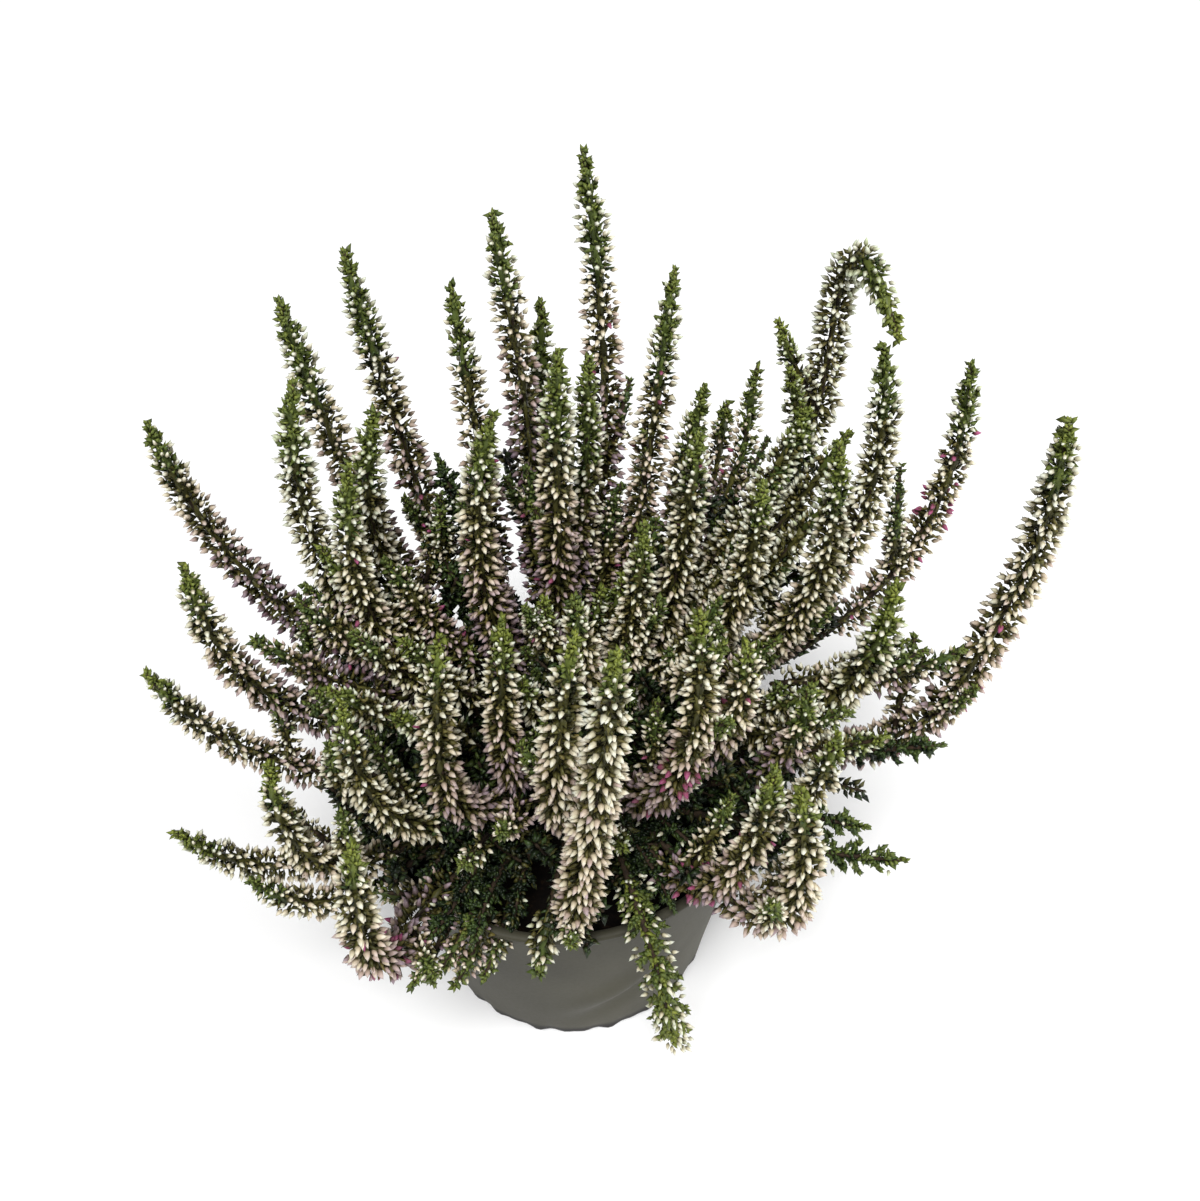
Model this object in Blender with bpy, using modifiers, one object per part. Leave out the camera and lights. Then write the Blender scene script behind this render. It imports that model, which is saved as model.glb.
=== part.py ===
"""A young heather in its nursery pot, at real size.

The pot is a thin plastic shell, filled with a root ball of peat. Six short woody branches fan
out above the peat, and each carries slim shoots: most of them flower all round over their upper
part, and a few are leafy. The pot's underside stands on z = 0, with its axis on the origin, and
the side that the heather shows faces -Y.
"""

import math

import bmesh
import bpy
import numpy as np
from mathutils import Vector
from mathutils.kdtree import KDTree

MM = 0.001
GAP = 0.3

# The pot, in millimetres.
POT_HEIGHT = 92.0
BASE_RADIUS = 45.0
WALL = 1.2
WALL_TOP_RADIUS = 59.6
LIP_RADIUS = 61.0
LIP_DEPTH = 2.2
HEEL_RADIUS = 4.0
POT_SIDES = 48
SLOTS = 8
SLOT_RADIUS = 7.0
SLOT_HEIGHT = 2.2

# The root ball, in millimetres.
PEAT_TOP = 80.0
PEAT_CROWN = 1.5
PEAT_CLEARANCE = 0.5

# The woody branches, in millimetres. One stands in the middle of a ring of five.
BRANCH_TURN = 10.0
RING_BRANCHES = 5
BRANCH_FOOT_REACH = 7.5
BRANCH_TOP_REACH = 24.0
BRANCH_TOP = 103.0
BRANCH_RISE = 3.5
BRANCH_FOOT_RADIUS = 2.6
BRANCH_TOP_RADIUS = 1.8
INNER_REACH = 30.0
FAN_REACH = 70.0
ROOT_SPREAD = 0.16

# The shoots, in millimetres. Each one is thin where it leaves its branch, thickest where it
# flowers or bears leaves, and slim again at its growing tip.
STEM_RADIUS = 1.0
FLOWER_RADIUS = 4.0
LEAF_RADIUS = 2.2
TIP_RADIUS = 0.9
FLOWER_TAPER = 26.0
LEAF_TAPER = 14.0
SWELL = 10.0
RING_SPACING = 11.0
SAMPLE_SPACING = 3.0
SHOOT_CLEARANCE = 1.2
EASE_ROUNDS = 120
PAIR_ROUNDS = 15
PAIR_MARGIN = 5.0
POST_RADIUS = 2.6

# Each flowering shoot: the length that flowers, then the places that it passes, from its tip
# down to the knee where it turns up. A place is its direction in degrees from +X, seen from
# above the pot, its reach from the axis and its height. Lengths are in millimetres.
FLOWERING = {
    "tall_back": (125, (73, 40, 270), (64, 34, 200)),
    "back_1": (105, (107, 31, 260), (100, 28, 204)),
    "back_2": (110, (138, 62, 243), (137, 57, 206)),
    "back_3": (100, (153, 69, 237), (153, 60, 190)),
    "back_4": (90, (120, 42, 236), (124, 32, 200)),
    "back_5": (80, (90, 44, 225), (92, 40, 186)),
    "back_6": (115, (50, 51, 237), (46, 36, 175)),
    "back_7": (62, (42, 76, 197), (42, 68, 164)),
    "back_8": (70, (35, 49, 210), (38, 44, 178)),
    "back_9": (80, (61, 23, 226), (64, 20, 175)),
    "back_10": (75, (46, 71, 184), (48, 68, 150)),
    "back_11": (70, (96, 84, 152), (94, 62, 116)),
    "back_12": (60, (72, 90, 146), (70, 66, 114)),
    "middle_1": (120, (59, 9, 238), (69, 5, 173)),
    "middle_2": (115, (165, 41, 220), (165, 43, 150)),
    "middle_3": (120, (160, 12, 223), (175, 17, 160)),
    "middle_4": (115, (5, 37, 216), (0, 30, 158)),
    "middle_5": (85, (355, 52, 207), (355, 46, 160)),
    "middle_6": (120, (172, 57, 231), (173, 53, 152)),
    "middle_7": (90, (184, 45, 215), (186, 45, 156)),
    "middle_8": (95, (350, 24, 194), (340, 19, 150)),
    "right_1": (125, (14, 84, 227), (10, 72, 146)),
    "right_2": (95, (15, 110, 214), (13, 94, 140)),
    "right_3": (140, (352, 116, 234), (351, 114, 175), (348, 98, 130)),
    "right_4": (80, (348, 86, 185), (346, 74, 139)),
    "right_5": (100, (18, 67, 209), (20, 61, 148)),
    "right_6": (45, (332, 71, 164), (331, 64, 129)),
    "right_7": (100, (1, 70, 213), (358, 61, 150)),
    "right_hook": (90, (12, 86, 231), (26, 86, 240), (28, 79, 185)),
    "left_1": (120, (165, 104, 204), (168, 78, 146)),
    "left_2": (90, (190, 87, 195), (190, 74, 139)),
    "left_3": (75, (192, 104, 164), (193, 80, 120)),
    "left_4": (62, (205, 109, 129), (207, 84, 98)),
    "left_5": (68, (217, 84, 164), (221, 80, 122)),
    "left_6": (42, (218, 98, 128), (220, 84, 105)),
    "front_1": (42, (284, 25, 190), (292, 21, 156)),
    "front_2": (80, (242, 24, 180), (244, 30, 128)),
    "front_3": (88, (232, 41, 187), (238, 46, 126)),
    "front_4": (98, (278, 48, 204), (271, 46, 134)),
    "front_5": (122, (283, 69, 221), (278, 63, 150), (273, 56, 101)),
    "front_6": (95, (312, 52, 200), (303, 44, 126)),
    "front_7": (62, (320, 60, 189), (319, 52, 142)),
    "front_8": (70, (223, 66, 180), (230, 62, 134)),
    "front_9": (34, (219, 69, 162), (217, 64, 134)),
    "low_left": (92, (238, 86, 162), (237, 79, 100)),
    "low_right_1": (52, (325, 83, 165), (322, 75, 131)),
    "low_right_2": (80, (312, 86, 166), (311, 78, 102)),
    "low_right_3": (72, (313, 77, 164), (303, 60, 106)),
    "rim": (20, (264, 67, 87), (266, 58, 98)),
}

# The leafy shoots, listed the same way.
LEAFY = {
    "right": (40, (332, 104, 109), (330, 84, 103)),
    "front": (70, (293, 76, 50), (290, 71, 92)),
    "left": (36, (238, 72, 97), (240, 55, 99)),
}


def point_at(direction, reach, height):
    """A place given by its direction in degrees, its reach from the pot's axis and its height."""
    angle = math.radians(direction)
    return np.array([reach * math.cos(angle), reach * math.sin(angle), height])


def material(name, colour, roughness):
    made = bpy.data.materials.new(name)
    made.use_nodes = True
    shader = made.node_tree.nodes["Principled BSDF"]
    shader.inputs["Base Color"].default_value = (*colour, 1.0)
    shader.inputs["Roughness"].default_value = roughness
    shader.inputs["Metallic"].default_value = 0.0
    return made


def turned(name, profile, sides, collection):
    """A shape turned about Z from a profile of (radius, height) points that runs down its outside."""
    mesh = bpy.data.meshes.new(name)
    points = [(radius * MM, 0.0, height * MM) for radius, height in profile]
    edges = [(i, i + 1) for i in range(len(points) - 1)]
    mesh.from_pydata(points, edges, [])
    piece = bpy.data.objects.new(name, mesh)
    collection.objects.link(piece)
    screw = piece.modifiers.new("turn", "SCREW")
    screw.axis = "Z"
    screw.steps = sides
    screw.render_steps = sides
    screw.use_merge_vertices = True
    screw.merge_threshold = 0.00001
    screw.use_smooth_shade = True
    return piece


def arc(centre_radius, centre_height, radius, start, end, steps):
    """Profile points along an arc, whose angles in degrees run from +X towards +Z."""
    angles = [math.radians(start + (end - start) * i / steps) for i in range(steps + 1)]
    return [
        (centre_radius + radius * math.cos(a), centre_height + radius * math.sin(a)) for a in angles
    ]


def inner_radius(height):
    """The pot's inside radius at a height above its floor."""
    return BASE_RADIUS + (WALL_TOP_RADIUS - BASE_RADIUS) * height / POT_HEIGHT - WALL


def make_slot(index, collection):
    """The cutter for one drainage slot, an arch through the pot's heel."""
    mesh = bpy.data.meshes.new(f"slot_{index}")
    shape = bmesh.new()
    bmesh.ops.create_cone(
        shape,
        cap_ends=True,
        segments=24,
        radius1=SLOT_RADIUS * MM,
        radius2=SLOT_RADIUS * MM,
        depth=14 * MM,
    )
    shape.to_mesh(mesh)
    shape.free()
    cutter = bpy.data.objects.new(f"slot_{index}", mesh)
    angle = math.radians(360 * (index + 0.5) / SLOTS)
    reach = BASE_RADIUS * MM
    drop = (SLOT_HEIGHT - SLOT_RADIUS) * MM
    cutter.location = (reach * math.cos(angle), reach * math.sin(angle), drop)
    cutter.rotation_euler = (0.0, math.radians(90), angle)
    cutter.hide_render = True
    cutter.display_type = "WIRE"
    collection.objects.link(cutter)
    return cutter


def make_pot(collection, cutters):
    lip_bottom = POT_HEIGHT - LIP_DEPTH
    top_inside = inner_radius(POT_HEIGHT)
    profile = [(top_inside, POT_HEIGHT)]
    profile += arc(LIP_RADIUS - 0.9, POT_HEIGHT - 0.9, 0.9, 90, 0, 3)
    profile += [(LIP_RADIUS, lip_bottom)]
    profile += [(inner_radius(lip_bottom) + WALL, lip_bottom)]
    profile += arc(BASE_RADIUS - HEEL_RADIUS + 0.4, HEEL_RADIUS, HEEL_RADIUS, 0, -90, 4)
    profile += [(0.0, 0.0), (0.0, WALL)]
    profile += arc(BASE_RADIUS - HEEL_RADIUS, HEEL_RADIUS, HEEL_RADIUS - WALL, -90, 0, 3)
    profile += [profile[0]]
    pot = turned("pot", profile, POT_SIDES, collection)
    for index in range(SLOTS):
        cut = pot.modifiers.new(f"slot_{index}", "BOOLEAN")
        cut.operation = "DIFFERENCE"
        cut.object = make_slot(index, cutters)
    pot.data.materials.append(material("taupe_plastic", (0.16, 0.15, 0.14), 0.42))


def make_root_ball(collection):
    low = WALL + GAP + 0.2
    foot = BASE_RADIUS - HEEL_RADIUS
    edge = inner_radius(PEAT_TOP) - PEAT_CLEARANCE
    profile = [(0.0, PEAT_TOP)]
    profile += [(edge * 0.5, PEAT_TOP - 0.25 * PEAT_CROWN), (edge, PEAT_TOP - PEAT_CROWN)]
    profile += [(inner_radius(12.0) - PEAT_CLEARANCE - 0.4, 12.0), (foot - 1.0, low), (0.0, low)]
    ball = turned("root_ball", profile, 36, collection)
    ball.data.materials.append(material("peat", (0.03, 0.02, 0.012), 0.95))


def tube(name, points, radii, bark, collection):
    """A round stem through the points, in millimetres, with its own radius at each."""
    curve = bpy.data.curves.new(name, "CURVE")
    curve.dimensions = "3D"
    curve.bevel_depth = MM
    curve.bevel_resolution = 1
    curve.use_fill_caps = True
    spline = curve.splines.new("POLY")
    spline.points.add(len(points) - 1)
    for place, point, radius in zip(spline.points, points, radii):
        place.co = (*(Vector(point) * MM), 1.0)
        place.radius = radius
    spline.use_smooth = True
    piece = bpy.data.objects.new(name, curve)
    collection.objects.link(piece)
    curve.materials.append(bark)
    return piece


def through(places, spacing):
    """Evenly spaced points on a smooth curve through the places."""
    places = np.array(places)
    legs = np.diff(places, axis=0)
    sizes = np.linalg.norm(legs, axis=1)
    ways = legs / sizes[:, None]
    turns = (ways[:-1] * sizes[1:, None] + ways[1:] * sizes[:-1, None]) / (
        sizes[:-1, None] + sizes[1:, None]
    )
    turns = np.vstack([2 * ways[0] - turns[0], turns, 2 * ways[-1] - turns[-1]])
    fine = [places[:1]]
    for leg, size in enumerate(sizes):
        t = np.linspace(0, 1, 40)[1:, None]
        fine.append(
            places[leg] * (2 * t**3 - 3 * t**2 + 1)
            + turns[leg] * size * (t**3 - 2 * t**2 + t)
            + places[leg + 1] * (3 * t**2 - 2 * t**3)
            + turns[leg + 1] * size * (t**3 - t**2)
        )
    return resampled(np.concatenate(fine), spacing)


def resampled(points, spacing):
    """The same line with its points evenly spaced."""
    along = np.r_[0, np.cumsum(np.linalg.norm(np.diff(points, axis=0), axis=1))]
    count = max(5, round(along[-1] / spacing) + 1)
    wanted = np.linspace(0, along[-1], count)
    return np.stack([np.interp(wanted, along, points[:, axis]) for axis in range(3)], axis=1)


def branch_lines():
    """The middle lines of the woody branches, the middle one first."""
    foot = PEAT_TOP + GAP + 0.2
    lines = [np.array([[0, 0, foot], [0.4, -0.3, foot + 12], [0, 0, BRANCH_TOP + 4]])]
    for index in range(RING_BRANCHES):
        direction = BRANCH_TURN + 360 * index / RING_BRANCHES
        start = point_at(direction, BRANCH_FOOT_REACH, foot + BRANCH_RISE)
        bend = point_at(direction + 5, 0.5 * (BRANCH_FOOT_REACH + BRANCH_TOP_REACH), foot + 11)
        end = point_at(direction, BRANCH_TOP_REACH, BRANCH_TOP)
        upright = start - np.array([0, 0, BRANCH_RISE])
        lines.append(np.vstack([upright, through([start, bend, end], 6.0)]))
    return lines


def shoot_root(plan, lines):
    """The place just clear of its branch's top where a shoot starts."""
    knee_direction, knee_reach, _ = plan[-1]
    if knee_reach < INNER_REACH:
        line, middle = lines[0], np.zeros(3)
    else:
        nearest = round((knee_direction - BRANCH_TURN) / (360 / RING_BRANCHES)) % RING_BRANCHES
        line = lines[1 + nearest]
        middle = point_at(BRANCH_TURN + 360 * nearest / RING_BRANCHES, FAN_REACH, 0.0)
    spread = ROOT_SPREAD * (point_at(knee_direction, knee_reach, 0.0) - middle)
    return line[-1] + spread + np.array([0, 0, BRANCH_TOP_RADIUS + GAP])


def shoot_radii(points, plan, full, taper):
    """A shoot's radius at each of its points."""
    steps = np.linalg.norm(np.diff(points, axis=0), axis=1)
    along = np.r_[0, np.cumsum(steps)]
    from_tip = along[-1] - along
    swelling = np.clip((plan[0] - from_tip) / SWELL, 0, 1)
    closing = np.clip(from_tip / taper, 0, 1) ** 0.7
    body = TIP_RADIUS + (full - TIP_RADIUS) * closing
    return STEM_RADIUS + (body - STEM_RADIUS) * swelling


def near_pairs(places, owner, reach):
    """The pairs of points on different shoots that lie within the reach of each other."""
    tree = KDTree(len(places))
    for index, place in enumerate(places):
        tree.insert(place, index)
    tree.balance()
    pairs = []
    for index, place in enumerate(places):
        for _, other, _ in tree.find_range(place, reach):
            if other > index and owner[other] != owner[index]:
                pairs.append((index, other))
    return np.array(pairs).T


def ease_apart(shoots, posts):
    """Shifts the shoots' middle lines sideways, a little at a time, until none touch.

    The posts are points on the woody branches and the pot's rim, which stay where they are.
    """
    counts = [len(shoot["line"]) for shoot in shoots]
    owner = np.repeat(np.arange(len(shoots)), counts)
    ends = np.cumsum(counts)
    give = np.concatenate([np.linspace(1.0, 0.35, count) for count in counts])
    radius = np.concatenate([shoot["radii"] for shoot in shoots])
    places = np.concatenate([shoot["line"] for shoot in shoots])
    for step in range(EASE_ROUNDS):
        if step % PAIR_ROUNDS == 0:
            one, two = near_pairs(places, owner, 2 * FLOWER_RADIUS + PAIR_MARGIN)
        push = np.zeros_like(places)
        apart = places[one] - places[two]
        distance = np.maximum(np.linalg.norm(apart, axis=1), 0.01)
        lack = np.maximum(radius[one] + radius[two] + SHOOT_CLEARANCE - distance, 0)
        shift = 0.5 * (lack / distance)[:, None] * apart
        np.add.at(push, one, shift)
        np.add.at(push, two, -shift)
        apart = places[:, None] - posts[None]
        distance = np.linalg.norm(apart, axis=2)
        lack = np.maximum(radius[:, None] + POST_RADIUS + SHOOT_CLEARANCE - distance, 0)
        push += ((lack / distance)[:, :, None] * apart).sum(axis=1)
        push *= give[:, None]
        for end, count in zip(ends, counts):
            places[end - count : end] += smoothed(push[end - count : end])
    for shoot, end, count in zip(shoots, ends, counts):
        shoot["line"] = places[end - count : end]


def smoothed(push):
    """Each push shared with its neighbours along the shoot, so that the line stays fair."""
    spread = np.array([1, 2, 3, 4, 3, 2, 1]) / 8
    padded = np.pad(push, ((3, 3), (0, 0)), mode="edge")
    return np.stack([np.convolve(padded[:, axis], spread, "valid") for axis in range(3)], axis=1)


def plan_shoots(lines):
    """Every shoot's name, middle line and radii, eased clear of the others and the branches."""
    shoots = []
    for kind, table, full, taper in (
        ("flower_shoot", FLOWERING, FLOWER_RADIUS, FLOWER_TAPER),
        ("leafy_shoot", LEAFY, LEAF_RADIUS, LEAF_TAPER),
    ):
        for name, plan in table.items():
            stops = [point_at(*place) for place in reversed(plan[1:])]
            line = through([shoot_root(plan, lines), *stops], SAMPLE_SPACING)
            radii = shoot_radii(line, plan, full, taper)
            shoots.append(
                dict(
                    name=f"{kind}_{name}", line=line, radii=radii, plan=plan, full=full, taper=taper
                )
            )
    posts = [resampled(line, SAMPLE_SPACING) for line in lines]
    rim_height = POT_HEIGHT - 0.4 * LIP_DEPTH
    posts.append([point_at(degrees, LIP_RADIUS - 1.5, rim_height) for degrees in range(0, 360, 3)])
    ease_apart(shoots, np.concatenate(posts))
    return shoots


def build():
    for leftover in list(bpy.data.objects):
        bpy.data.objects.remove(leftover)
    parts = bpy.data.collections.new("potted_heather")
    cutters = bpy.data.collections.new("cutters")
    bpy.context.scene.collection.children.link(parts)
    bpy.context.scene.collection.children.link(cutters)

    make_pot(parts, cutters)
    make_root_ball(parts)

    bark = material("heather_bark", (0.12, 0.075, 0.05), 0.85)
    blossom = material("heather_blossom", (0.62, 0.58, 0.44), 0.6)
    leaf = material("heather_leaf", (0.05, 0.1, 0.035), 0.6)
    lines = branch_lines()
    for index, line in enumerate(lines):
        radii = np.linspace(BRANCH_FOOT_RADIUS, BRANCH_TOP_RADIUS, len(line))
        tube(f"woody_branch_{index + 1}", line, radii, bark, parts)
    for shoot in plan_shoots(lines):
        points = resampled(shoot["line"], RING_SPACING)
        radii = shoot_radii(points, shoot["plan"], shoot["full"], shoot["taper"])
        finish = blossom if shoot["full"] == FLOWER_RADIUS else leaf
        tube(shoot["name"], points, radii, finish, parts)


build()
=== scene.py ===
# %% [markdown]
# # A heather in its nursery pot
#
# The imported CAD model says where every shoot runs, and holds a plain rod for each. This lesson
# dresses those rods: it reads each rod's middle line, and grows a stem, scale leaves and closed
# buds along it. Then it makes the pot, the peat and the woody branches, and lights them.

import math

import bmesh
import bpy
import numpy as np
from mathutils import Matrix, Vector, noise


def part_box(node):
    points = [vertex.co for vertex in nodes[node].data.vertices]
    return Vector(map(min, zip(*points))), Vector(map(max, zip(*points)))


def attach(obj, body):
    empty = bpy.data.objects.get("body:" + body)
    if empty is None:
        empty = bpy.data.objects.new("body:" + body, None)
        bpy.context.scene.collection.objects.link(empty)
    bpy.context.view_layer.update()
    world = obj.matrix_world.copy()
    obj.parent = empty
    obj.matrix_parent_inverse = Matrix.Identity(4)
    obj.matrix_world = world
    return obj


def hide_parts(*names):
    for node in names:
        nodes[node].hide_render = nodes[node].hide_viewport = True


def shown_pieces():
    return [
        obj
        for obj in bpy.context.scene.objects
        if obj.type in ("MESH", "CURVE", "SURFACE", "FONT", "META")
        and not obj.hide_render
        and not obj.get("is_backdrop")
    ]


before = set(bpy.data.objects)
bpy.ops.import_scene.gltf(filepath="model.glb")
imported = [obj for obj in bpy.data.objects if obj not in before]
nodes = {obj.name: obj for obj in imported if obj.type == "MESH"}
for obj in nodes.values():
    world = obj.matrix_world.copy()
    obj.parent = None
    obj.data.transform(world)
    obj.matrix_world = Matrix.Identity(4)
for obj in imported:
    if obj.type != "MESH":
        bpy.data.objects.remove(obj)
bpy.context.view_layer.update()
MM = 0.001
rng = np.random.default_rng(26)
print("nodes from CAD:", len(nodes))

# %% [markdown]
# Colours are written as sRGB hex, the way a colour picker shows them, and turned to linear
# light here. The node helper sets what it is told to, and joins the inputs.


# %% Colour and node helpers
def linear(code):
    """An sRGB hex colour as linear RGBA."""
    parts = [int(code[i : i + 2], 16) / 255 for i in (1, 3, 5)]
    light = [c / 12.92 if c <= 0.04045 else ((c + 0.055) / 1.055) ** 2.4 for c in parts]
    return (*light, 1.0)


def add(tree, kind, settings=None, **inputs):
    """A node with its settings, whose inputs are values or other nodes' outputs."""
    node = tree.nodes.new(kind)
    for key, value in (settings or {}).items():
        setattr(node, key, value)
    for key, value in inputs.items():
        name = key.replace("_", " ") if not key.startswith("in_") else int(key[3:])
        if isinstance(value, bpy.types.NodeSocket):
            tree.links.new(value, node.inputs[name])
        else:
            node.inputs[name].default_value = value
    return node


def linked(name, data):
    """A new object in the scene that shows this mesh, light or camera."""
    made = bpy.data.objects.new(name, data)
    bpy.context.scene.collection.objects.link(made)
    return made


def ramp(tree, factor, stops):
    """A colour ramp through (place, hex colour) stops."""
    node = add(tree, "ShaderNodeValToRGB", in_0=factor)
    band = node.color_ramp
    while len(band.elements) < len(stops):
        band.elements.new(0.5)
    for element, (place, code) in zip(band.elements, stops):
        element.position = place
        element.color = linear(code)
    return node.outputs["Color"]


def mixed(tree, factor, first, second, blend="MIX"):
    """The first colour mixed with the second by a factor, or multiplied by it."""
    settings = {"data_type": "RGBA", "blend_type": blend}
    return add(tree, "ShaderNodeMix", settings, in_0=factor, in_6=first, in_7=second).outputs[2]


def finish(name, roughness, specular):
    """An empty material with its tree and its Principled shader."""
    made = bpy.data.materials.new(name)
    made.use_nodes = True
    shader = made.node_tree.nodes["Principled BSDF"]
    shader.inputs["Roughness"].default_value = roughness
    shader.inputs["Specular IOR Level"].default_value = specular
    return made, made.node_tree, shader


print("helpers ready")

# %% [markdown]
# The camera looks down at the plant from about 48 degrees, a little to the right of the middle,
# and it is rolled by less than two degrees. These values fit the outline of the pot.

# %% Camera
CAMERA_PLACE = (0.0125, -0.244, 0.436)
CAMERA_TILT = 41.7
CAMERA_ROLL = -1.7
CAMERA_LENS, SENSOR_WIDTH = 42.0, 36.0
camera_data = bpy.data.cameras.new("camera")
camera_data.lens = CAMERA_LENS
camera_data.sensor_width = SENSOR_WIDTH
camera_data.sensor_fit = "HORIZONTAL"
camera = linked("camera", camera_data)
tilt = Matrix.Rotation(math.radians(CAMERA_TILT), 4, "X")
roll = Matrix.Rotation(math.radians(CAMERA_ROLL), 4, "Z")
camera.matrix_world = Matrix.Translation(CAMERA_PLACE) @ tilt @ roll
bpy.context.scene.camera = camera
print("camera tilt", CAMERA_TILT, "degrees")

# %% [markdown]
# Every bud, leaf and stem carries one small map called OFBake. Its first value runs from the
# foot of the bud or leaf to its point. Its second picks a tint, and stems, leaves and buds each
# have their own band of it. So a bud's colour follows its own length, and its neighbour can be
# ivory or blush, although both wear the same material. Round one bud the tint shifts a little,
# by at most the band's width.

# %% Tint bands
BUD_BAND = (0.02, 0.58)
LEAF_BAND = (0.63, 0.80)
BARK_BAND = (0.85, 0.96)
BAND_WIDTH = 0.010
ALONG_EDGE = 0.02


def in_band(band, tone):
    """The map's second value for a tone from 0 to 1."""
    return band[0] + (band[1] - band[0]) * np.clip(tone, 0, 1)


def band_nodes(tree, band):
    """The value along the bud or leaf, the tone from 0 to 1, and the map itself."""
    uv = add(tree, "ShaderNodeUVMap", {"uv_map": "OFBake"})
    split = add(tree, "ShaderNodeSeparateXYZ", Vector=uv.outputs["UV"])
    ends = dict(From_Min=band[0], From_Max=band[1] + BAND_WIDTH)
    tone = add(tree, "ShaderNodeMapRange", Value=split.outputs["Y"], **ends)
    return split.outputs["X"], tone.outputs["Result"], uv.outputs["UV"]


def shade_along(tree, along, colour, stops):
    """The colour times a grey ramp: painted shade along a bud or leaf, or flakes on bark."""
    return mixed(tree, 1.0, colour, ramp(tree, along, stops), "MULTIPLY")


print("bands:", BUD_BAND, LEAF_BAND, BARK_BAND)

# %% [markdown]
# A closed heather bud is four dry, papery sepals. They are ivory to blush or mauve, nearly
# matt with a faint sheen, and olive where they leave the stem. Painted shade darkens each bud
# from its point towards the stem, so it is palest at the point.

# %% Petal material
bud_finish, tree, shader = finish("heather_sepals", 0.55, 0.35)
along, tone, _ = band_nodes(tree, BUD_BAND)
tints = [
    (0.00, "#CDD8B2"), (0.14, "#E2E5D6"), (0.26, "#ECEAD6"), (0.38, "#E9DFCA"),
    (0.50, "#D0BCB6"), (0.62, "#A6929C"), (0.76, "#786874"), (0.90, "#97516F"),
    (1.00, "#B5588A"),
]
petal = ramp(tree, tone, tints)
calyx = ramp(tree, along, [(0.06, "#FFFFFF"), (0.32, "#000000")])
sepal = mixed(tree, calyx, petal, linear("#7C7A45"))
# Painted shade: this grey darkens each bud from its point towards the stem.
fade = [(0.1, "#978D7A"), (0.5, "#DAD5C8"), (0.78, "#FFFFFF")]
lit = shade_along(tree, along, sepal, fade)
tree.links.new(lit, shader.inputs["Base Color"])
print("tints on the buds:", len(tints))

# %% [markdown]
# Heather's scale leaves are tiny, waxy and hard. New ones at the tips are yellow-green, old
# ones deep green, and the bracts that hold the buds are olive-brown. The oldest greens are
# darkened nearly to black as painted shade deep in the plant, and each leaf is painted darker
# at its base, as shade where it meets the stem.

# %% Leaf material
leaf_finish, tree, shader = finish("heather_leaf_cuticle", 0.5, 0.35)
along, tone, _ = band_nodes(tree, LEAF_BAND)
# The stops at 0.70 and 0.76 are old green darkened nearly to black as painted shade.
greens = [
    (0.00, "#ABB34A"), (0.20, "#8A933A"), (0.40, "#697533"), (0.58, "#3D5024"),
    (0.70, "#0E1B0A"), (0.76, "#0E1B0A"), (0.88, "#5F5C2B"), (1.00, "#786A3A"),
]
base = ramp(tree, tone, greens)
# Painted shade: each leaf darkens towards its base.
lit = shade_along(tree, along, base, [(0.0, "#3C3C3C"), (0.7, "#FFFFFF")])
tree.links.new(lit, shader.inputs["Base Color"])
print("greens on the leaves:", len(greens))

# %% [markdown]
# Young heather stems have thin brown bark, paler where they are older and woody.

# %% Bark material
bark_finish, tree, shader = finish("heather_bark", 0.8, 0.25)
_, tone, uv = band_nodes(tree, BARK_BAND)
browns = [(0.0, "#2A2114"), (0.5, "#47382A"), (1.0, "#75624C")]
wood = ramp(tree, tone, browns)
flakes = add(tree, "ShaderNodeTexNoise", Vector=uv, Scale=60.0, Detail=2.0).outputs["Fac"]
lit = shade_along(tree, flakes, wood, [(0.35, "#8A8A8A"), (0.65, "#FFFFFF")])
tree.links.new(lit, shader.inputs["Base Color"])
print("browns on the bark:", len(browns))

# %% [markdown]
# One bud and one scale leaf are turned on a lathe: a short profile is spun round its own axis.
# Thousands of copies follow, so a bud has only 15 faces and a leaf 6. The bud's point leans a
# little to one side, and the leaf's to the other.


# %% Lathe
DOUBLE_POINTS = 1e-7


def lathed(profile, sides):
    """A closed shape spun about Z from (radius, height) points."""
    shape = bmesh.new()
    rim = [shape.verts.new((radius, 0.0, height)) for radius, height in profile]
    edges = [shape.edges.new(pair) for pair in zip(rim, rim[1:])]
    about = dict(cent=(0, 0, 0), axis=(0, 0, 1), angle=math.tau)
    bmesh.ops.spin(shape, geom=rim + edges, steps=sides, use_merge=True, **about)
    bmesh.ops.remove_doubles(shape, verts=shape.verts, dist=DOUBLE_POINTS)
    bmesh.ops.recalc_face_normals(shape, faces=shape.faces)
    return shape


def spread_round(step, sides):
    """A value from 0 to 1 that differs between neighbours round a ring."""
    return np.array([0.0, 1.0, 0.5])[step % 3] if sides % 2 else (step % 2).astype(float)


def faces_of(shape):
    """The corners of all faces in one row, and how many corners each face has."""
    corners = np.array([v.index for face in shape.faces for v in face.verts])
    return corners, np.array([len(face.verts) for face in shape.faces])


def pattern_of(shape, sides, slot):
    """A lathed shape as arrays that can be copied many times."""
    shape.verts.ensure_lookup_table()
    points = np.array([vertex.co for vertex in shape.verts])
    turn = np.arctan2(points[:, 1], points[:, 0]) / math.tau * sides
    corners, counts = faces_of(shape)
    shape.free()
    return dict(
        points=points,
        along=points[:, 2] / points[:, 2].max(),
        side=spread_round(np.round(turn).astype(int), sides),
        corners=corners,
        counts=counts,
        slot=slot,
    )


def lean(shape, amount):
    """Bends a shape of height 1 sideways, more towards its point."""
    for vertex in shape.verts:
        vertex.co.x += amount * vertex.co.z**2


print("lathe ready")

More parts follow.
